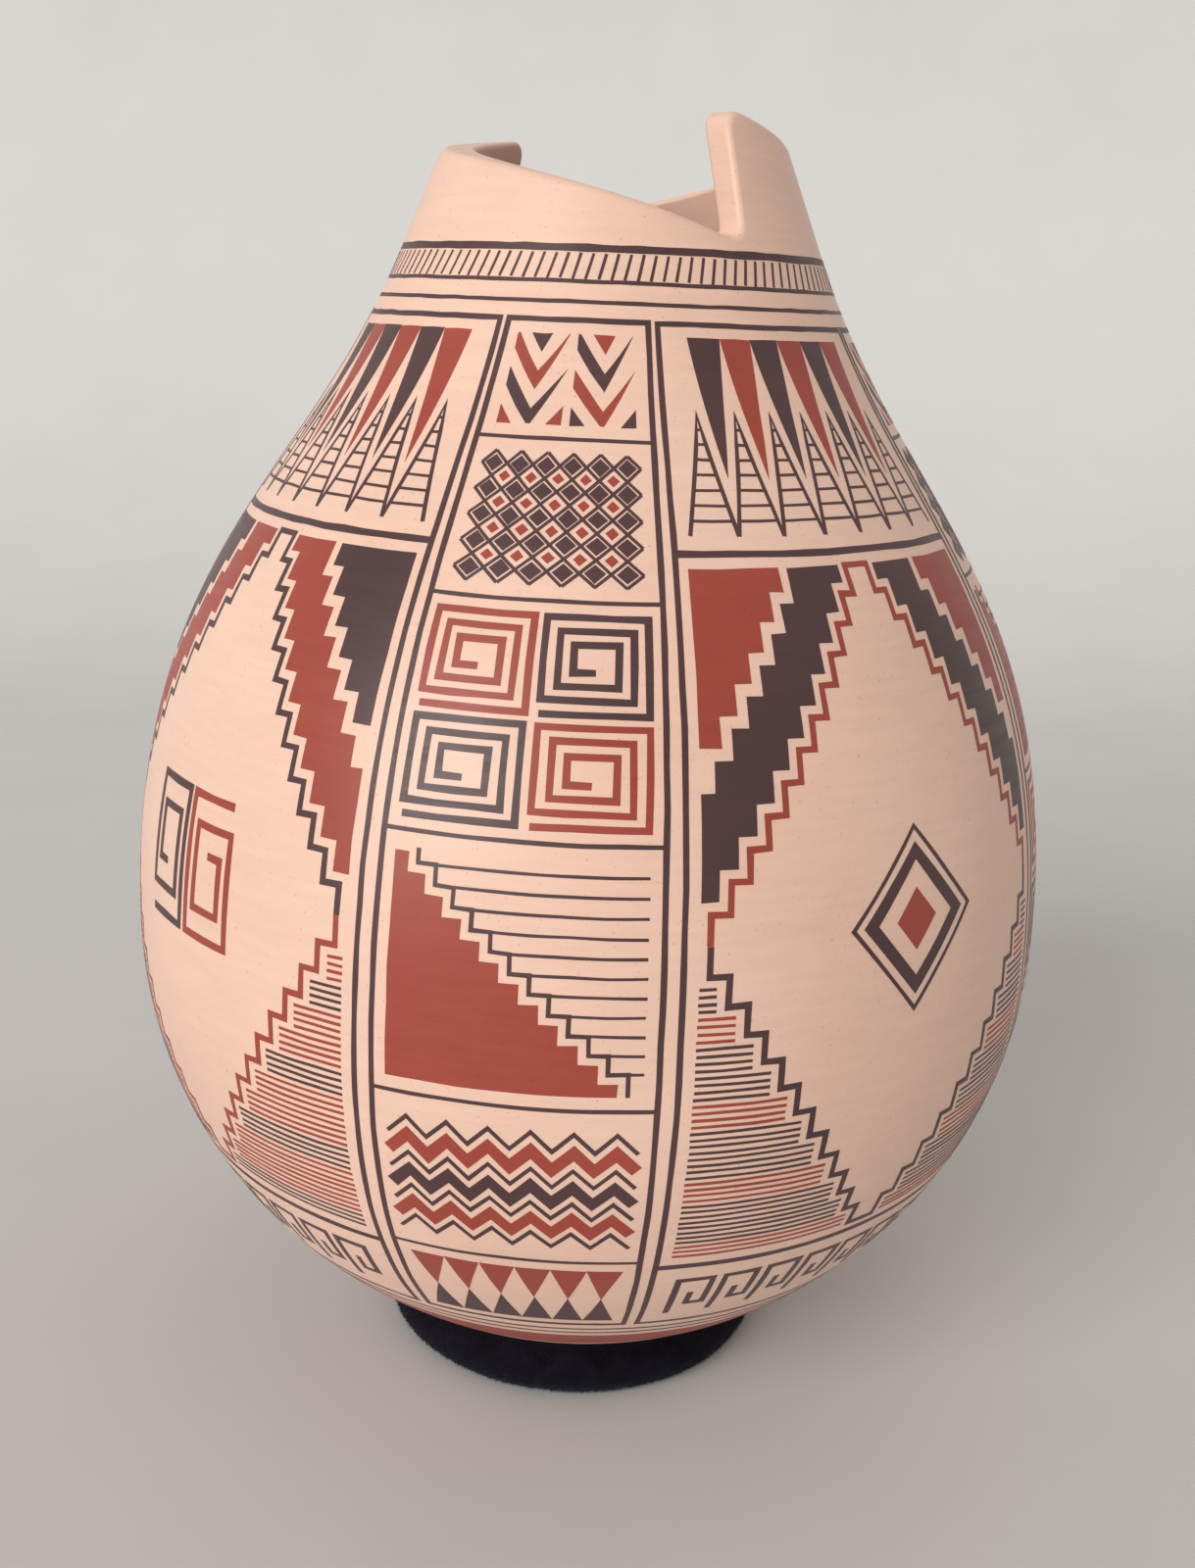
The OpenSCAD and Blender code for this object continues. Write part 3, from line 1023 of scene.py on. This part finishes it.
hose = Look("grey_hose", Roughness=0.5)
hose_cloud = hose.noise(90, detail=4)
hose.link(hose.blend(hose_cloud, colour(128, 130, 132), colour(150, 152, 154)), "Base Color")
hose.bump(hose.noise(900), distance=0.00006, strength=0.6)

dowel = Look("dowel_wood", Roughness=0.6)
grain = dowel.noise(1, detail=5, rough=0.6, place=dowel.stretched((900, 60, 900)))
dowel.link(dowel.blend(grain, colour(176, 134, 92), colour(208, 170, 124)), "Base Color")
dowel.bump(grain, distance=0.0001, strength=0.5)

shell.data.materials.append(clay)
shell.data.materials.append(raw.material)
scraped_from = (outer_rows - 1 + NECK_ROWS) * COLUMNS
for face in shell.data.polygons:
    if min(face.vertices) >= scraped_from and outer_pole not in face.vertices:
        face.material_index = 1
dark_paint.data.materials.append(dark_slip)
red_paint.data.materials.append(red_slip)
cover.data.materials.append(velvet.material)
stitches.data.materials.append(thread.material)
for node, look in (("ring_core", hose), ("core_plug", dowel)):
    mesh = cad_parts[node].data
    mesh.materials.clear()
    mesh.materials.append(look.material)


# Floor, camera and light

# Floor that bends up into a plain backdrop: half width, where the bend starts, its radius and pieces, and
# the backdrop's height. These are metres.
FLOOR_HALF = 3.0
BEND_Y = 0.6
BEND_R = 0.5
BEND_PIECES = 24
WALL_Z = 3.0
sweep = [(-FLOOR_HALF, 0)]
for i in range(BEND_PIECES + 1):
    a = math.pi / 2 * i / BEND_PIECES
    sweep.append((BEND_Y + BEND_R * math.sin(a), BEND_R * (1 - math.cos(a))))
sweep.append((BEND_Y + BEND_R, WALL_Z))
stage_mesh = bpy.data.meshes.new("floor")
stage_mesh.from_pydata(
    [(x, y, z) for y, z in sweep for x in (-FLOOR_HALF, FLOOR_HALF)],
    [],
    [(2 * i, 2 * i + 1, 2 * i + 3, 2 * i + 2) for i in range(len(sweep) - 1)])
stage_mesh.shade_smooth()
floor = bpy.data.objects.new("floor", stage_mesh)
bpy.context.scene.collection.objects.link(floor)
floor_look = Look("pale_floor", Roughness=0.85)
floor_look.link(floor_look.blend(floor_look.noise(14), grey(0.63), grey(0.65)), "Base Color")
stage_mesh.materials.append(floor_look.material)

# Camera, fitted to the outline in the photo
scene = bpy.context.scene
CAMERA_Y = -364.5
CAMERA_OVER_BASE = 232.35
pitch = math.radians(15.89)
roll = math.radians(2.35)
yaw = math.radians(0.21)
forward = Vector((math.sin(yaw) * math.cos(pitch), math.cos(yaw) * math.cos(pitch), -math.sin(pitch)))
right = forward.cross(Vector((0, 0, 1))).normalized()
up = right.cross(forward)
right, up = math.cos(roll) * right + math.sin(roll) * up, math.cos(roll) * up - math.sin(roll) * right
camera = bpy.data.objects.new("camera", bpy.data.cameras.new("camera"))
camera_place = Vector((0, CAMERA_Y, BASE_Z + CAMERA_OVER_BASE)) * MM
camera.matrix_world = Matrix.Translation(camera_place) @ Matrix((right, up, -forward)).transposed().to_4x4()
camera.data.sensor_fit = "VERTICAL"
camera.data.sensor_height = 36
camera.data.lens = 38.25
camera.data.clip_start = 0.01
scene.collection.objects.link(camera)
scene.camera = camera

# One soft key light from the viewer's left front, and an even fill
KEY_WAY = Vector((0.59, 0.73, -0.34))
key_light = bpy.data.lights.new("key", "SUN")
key_light.energy = 2.1
key_light.angle = math.radians(37)
key_light.color = (1, 0.98, 0.95)
key = bpy.data.objects.new("key", key_light)
key.rotation_euler = KEY_WAY.to_track_quat("-Z", "Y").to_euler()
scene.collection.objects.link(key)

world = bpy.data.worlds.new("studio")
world.use_nodes = True
world.node_tree.nodes["Background"].inputs["Color"].default_value = (1, 0.94, 0.88, 1)
world.node_tree.nodes["Background"].inputs["Strength"].default_value = 0.52
scene.world = world
scene.view_settings.view_transform = "Standard"
